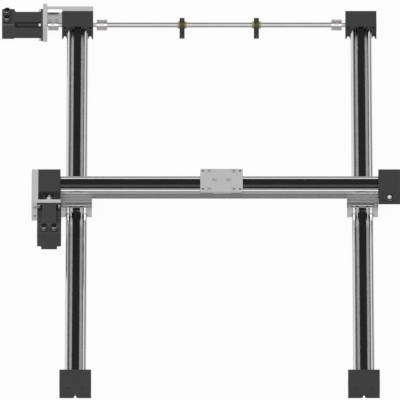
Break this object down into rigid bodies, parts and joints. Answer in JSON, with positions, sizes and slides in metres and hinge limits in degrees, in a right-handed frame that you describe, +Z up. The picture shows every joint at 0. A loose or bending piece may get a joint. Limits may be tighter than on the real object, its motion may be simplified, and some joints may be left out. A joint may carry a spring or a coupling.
{
  "type": "belt driven linear axis",
  "caption": "Flat H-shaped X-Y gantry: two coupled toothed belt axes carry a third across them, with a tool carriage on round guide shafts, motors and a cross shaft.",
  "frame": {"origin": "centre of the base bolt pattern, on the plane under the end blocks", "axes": "+X along the bridge axis, away from its motor's end; +Y along the two side axes, towards the cross shaft; +Z up"},
  "size_m": [0.9421, 1.2626, 0.1231],
  "materials": {
    "anodised_rail": "natural anodised extrusion, satin",
    "ground_steel": "ground and hardened, bright",
    "black_block": "black anodised, satin",
    "belt_rubber": "matt black",
    "bearing_steel": "bright, with dark seals",
    "bracket_plate": "machined, fine satin",
    "motor_black": "semi-matt black paint",
    "connector_black": "matt black",
    "support_black": "black anodised",
    "bush_brass": "machined",
    "screw_steel": "zinc plated",
    "shaft_steel": "turned, bright",
    "pulley_aluminium": "machined",
    "coupling_aluminium": "turned, bright",
    "spider_elastomer": "satin pink elastomer",
    "carriage_aluminium": "machined, bright",
    "liner_plastic": "matt polymer"
  },
  "bodies": {
    "frame": {"rail_left": "anodised_rail", "rail_right": "anodised_rail", "rail_shafts_y": "ground_steel", "belt_channels_y": "anodised_rail", "drive_block_left": "black_block", "drive_block_right": "black_block", "idler_block_left": "black_block", "idler_block_right": "black_block", "belt_left": "belt_rubber", "belt_right": "belt_rubber", "block_bearings_y": "bearing_steel", "y_bracket_end_plate": "bracket_plate", "y_motor_plate": "bracket_plate", "y_motor": "motor_black", "y_motor_connectors": "connector_black", "shaft_supports": "support_black", "support_bushes": "bush_brass", "frame_screws": "screw_steel"},
    "cross_drive": {"cross_shaft": "shaft_steel", "drive_journals_y": "shaft_steel", "drive_pulleys_y": "pulley_aluminium", "y_motor_rotor": "shaft_steel", "coupling_hubs_y": "coupling_aluminium", "coupling_spiders_y": "spider_elastomer"},
    "idler_left": {"idler_pulley_left": "pulley_aluminium", "idler_journal_left": "shaft_steel"},
    "idler_right": {"idler_pulley_right": "pulley_aluminium", "idler_journal_right": "shaft_steel"},
    "bridge": {"carriage_left": "carriage_aluminium", "carriage_right": "carriage_aluminium", "bearing_housings_y": "carriage_aluminium", "bearing_liners_y": "liner_plastic", "belt_jaws_y": "carriage_aluminium", "adapter_left": "carriage_aluminium", "adapter_right": "carriage_aluminium", "rail_x": "anodised_rail", "rail_shafts_x": "ground_steel", "belt_channel_x": "anodised_rail", "drive_block_x": "black_block", "idler_block_x": "black_block", "belt_x": "belt_rubber", "block_bearings_x": "bearing_steel", "x_bracket_end_plate": "bracket_plate", "x_motor_plate": "bracket_plate", "x_motor": "motor_black", "x_motor_connectors": "connector_black", "bridge_screws": "screw_steel"},
    "bridge_drive": {"drive_pulley_x": "pulley_aluminium", "drive_journal_x": "shaft_steel", "x_motor_rotor": "shaft_steel", "coupling_hubs_x": "coupling_aluminium", "coupling_spider_x": "spider_elastomer"},
    "bridge_idler": {"idler_pulley_x": "pulley_aluminium", "idler_journal_x": "shaft_steel"},
    "tool_carriage": {"carriage_x": "carriage_aluminium", "bearing_housings_x": "carriage_aluminium", "bearing_liners_x": "liner_plastic", "belt_jaw_x": "carriage_aluminium", "tool_carriage_screws": "screw_steel"}
  },
  "joints": [
    {"name": "bridge_slide", "type": "slide", "parent": "frame", "child": "bridge", "axis": [0, 1, 0], "range_m": [-0.52, 0.52], "deforming": ["belt_left", "belt_right"]},
    {"name": "tool_slide", "type": "slide", "parent": "bridge", "child": "tool_carriage", "axis": [1, 0, 0], "range_m": [-0.327, 0.317], "deforming": ["belt_x"]},
    {"name": "cross_turn", "type": "hinge", "parent": "frame", "child": "cross_drive", "pos_m": [0, 0.5975, 0.02128], "axis": [1, 0, 0], "continuous": true},
    {"name": "idler_left_turn", "type": "hinge", "parent": "frame", "child": "idler_left", "pos_m": [-0.33675, -0.5975, 0.02128], "axis": [1, 0, 0], "continuous": true},
    {"name": "idler_right_turn", "type": "hinge", "parent": "frame", "child": "idler_right", "pos_m": [0.33675, -0.5975, 0.02128], "axis": [1, 0, 0], "continuous": true},
    {"name": "bridge_drive_turn", "type": "hinge", "parent": "bridge", "child": "bridge_drive", "pos_m": [-0.4, 0, 0.07418], "axis": [0, 1, 0], "continuous": true},
    {"name": "bridge_idler_turn", "type": "hinge", "parent": "bridge", "child": "bridge_idler", "pos_m": [0.4, 0, 0.07418], "axis": [0, 1, 0], "continuous": true}
  ],
  "couplings": [
    {"joint": "cross_turn", "follows": "bridge_slide", "rad_per_m": -62.832},
    {"joint": "idler_left_turn", "follows": "bridge_slide", "rad_per_m": -62.832},
    {"joint": "idler_right_turn", "follows": "bridge_slide", "rad_per_m": -62.832},
    {"joint": "bridge_drive_turn", "follows": "tool_slide", "rad_per_m": 62.832},
    {"joint": "bridge_idler_turn", "follows": "tool_slide", "rad_per_m": 62.832}
  ]
}
